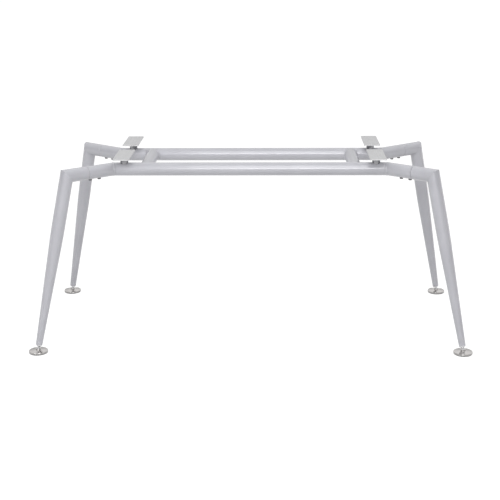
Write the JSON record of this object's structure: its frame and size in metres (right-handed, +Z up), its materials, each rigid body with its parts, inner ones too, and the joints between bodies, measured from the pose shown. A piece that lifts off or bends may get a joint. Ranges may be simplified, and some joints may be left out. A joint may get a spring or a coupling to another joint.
{
  "type": "table base",
  "caption": "Steel-tube table base: angled rails joined by cross tubes, tapered splayed legs bolted into the rail ends, top plates on posts, and swivelling levelling feet.",
  "frame": {"origin": "on the floor under the middle of the base", "axes": "+X along the rails, -Y towards the front, +Z up"},
  "size_m": [1.6718, 0.7894, 0.716],
  "materials": {
    "silver_paint": "smooth silver metallic paint",
    "zinc_plate": "zinc plated, dull",
    "chrome": "bright chrome plate",
    "turned_steel": "turned, bright zinc",
    "dark_screw": "blackened steel",
    "plain_steel": "plain drawn steel",
    "pad_plastic": "moulded black plastic"
  },
  "bodies": {
    "frame": {"front_rail": "silver_paint", "rear_rail": "silver_paint", "left_cross_tube": "silver_paint", "right_cross_tube": "silver_paint", "leg_screws": "dark_screw", "plate_screws": "zinc_plate", "rail_nuts": "plain_steel", "front_left_rail_end": "silver_paint", "front_left_leg_arm": "silver_paint", "front_left_leg": "silver_paint", "front_left_spigot": "plain_steel", "front_left_nut_strip": "plain_steel", "front_left_post": "chrome", "front_left_top_plate": "zinc_plate", "front_left_leg_plug": "turned_steel", "front_right_rail_end": "silver_paint", "front_right_leg_arm": "silver_paint", "front_right_leg": "silver_paint", "front_right_spigot": "plain_steel", "front_right_nut_strip": "plain_steel", "front_right_post": "chrome", "front_right_top_plate": "zinc_plate", "front_right_leg_plug": "turned_steel", "rear_left_rail_end": "silver_paint", "rear_left_leg_arm": "silver_paint", "rear_left_leg": "silver_paint", "rear_left_spigot": "plain_steel", "rear_left_nut_strip": "plain_steel", "rear_left_post": "chrome", "rear_left_top_plate": "zinc_plate", "rear_left_leg_plug": "turned_steel", "rear_right_rail_end": "silver_paint", "rear_right_leg_arm": "silver_paint", "rear_right_leg": "silver_paint", "rear_right_spigot": "plain_steel", "rear_right_nut_strip": "plain_steel", "rear_right_post": "chrome", "rear_right_top_plate": "zinc_plate", "rear_right_leg_plug": "turned_steel"},
    "front_left_stud": {"front_left_foot_stud": "turned_steel"},
    "front_left_foot": {"front_left_foot_disc": "chrome", "front_left_foot_pad": "pad_plastic"},
    "front_right_stud": {"front_right_foot_stud": "turned_steel"},
    "front_right_foot": {"front_right_foot_disc": "chrome", "front_right_foot_pad": "pad_plastic"},
    "rear_left_stud": {"rear_left_foot_stud": "turned_steel"},
    "rear_left_foot": {"rear_left_foot_disc": "chrome", "rear_left_foot_pad": "pad_plastic"},
    "rear_right_stud": {"rear_right_foot_stud": "turned_steel"},
    "rear_right_foot": {"rear_right_foot_disc": "chrome", "rear_right_foot_pad": "pad_plastic"}
  },
  "joints": [
    {"name": "front_left_foot_height", "type": "slide", "parent": "frame", "child": "front_left_stud", "axis": [-0.1873, -0.1463, -0.9713], "range_m": [-0.002, 0.015]},
    {"name": "front_left_foot_tilt", "type": "hinge", "parent": "front_left_stud", "child": "front_left_foot", "pos_m": [-0.7999, -0.35868, 0.0135], "axis": [-0.6157, 0.788, 0], "range_deg": [-4.25, 31.75]},
    {"name": "front_right_foot_height", "type": "slide", "parent": "frame", "child": "front_right_stud", "axis": [0.1873, -0.1463, -0.9713], "range_m": [-0.002, 0.015]},
    {"name": "front_right_foot_tilt", "type": "hinge", "parent": "front_right_stud", "child": "front_right_foot", "pos_m": [0.7999, -0.35868, 0.0135], "axis": [-0.6157, -0.788, 0], "range_deg": [-4.25, 31.75]},
    {"name": "rear_left_foot_height", "type": "slide", "parent": "frame", "child": "rear_left_stud", "axis": [-0.1873, 0.1463, -0.9713], "range_m": [-0.002, 0.015]},
    {"name": "rear_left_foot_tilt", "type": "hinge", "parent": "rear_left_stud", "child": "rear_left_foot", "pos_m": [-0.7999, 0.35868, 0.0135], "axis": [0.6157, 0.788, 0], "range_deg": [-4.25, 31.75]},
    {"name": "rear_right_foot_height", "type": "slide", "parent": "frame", "child": "rear_right_stud", "axis": [0.1873, 0.1463, -0.9713], "range_m": [-0.002, 0.015]},
    {"name": "rear_right_foot_tilt", "type": "hinge", "parent": "rear_right_stud", "child": "rear_right_foot", "pos_m": [0.7999, 0.35868, 0.0135], "axis": [0.6157, -0.788, 0], "range_deg": [-4.25, 31.75]}
  ]
}
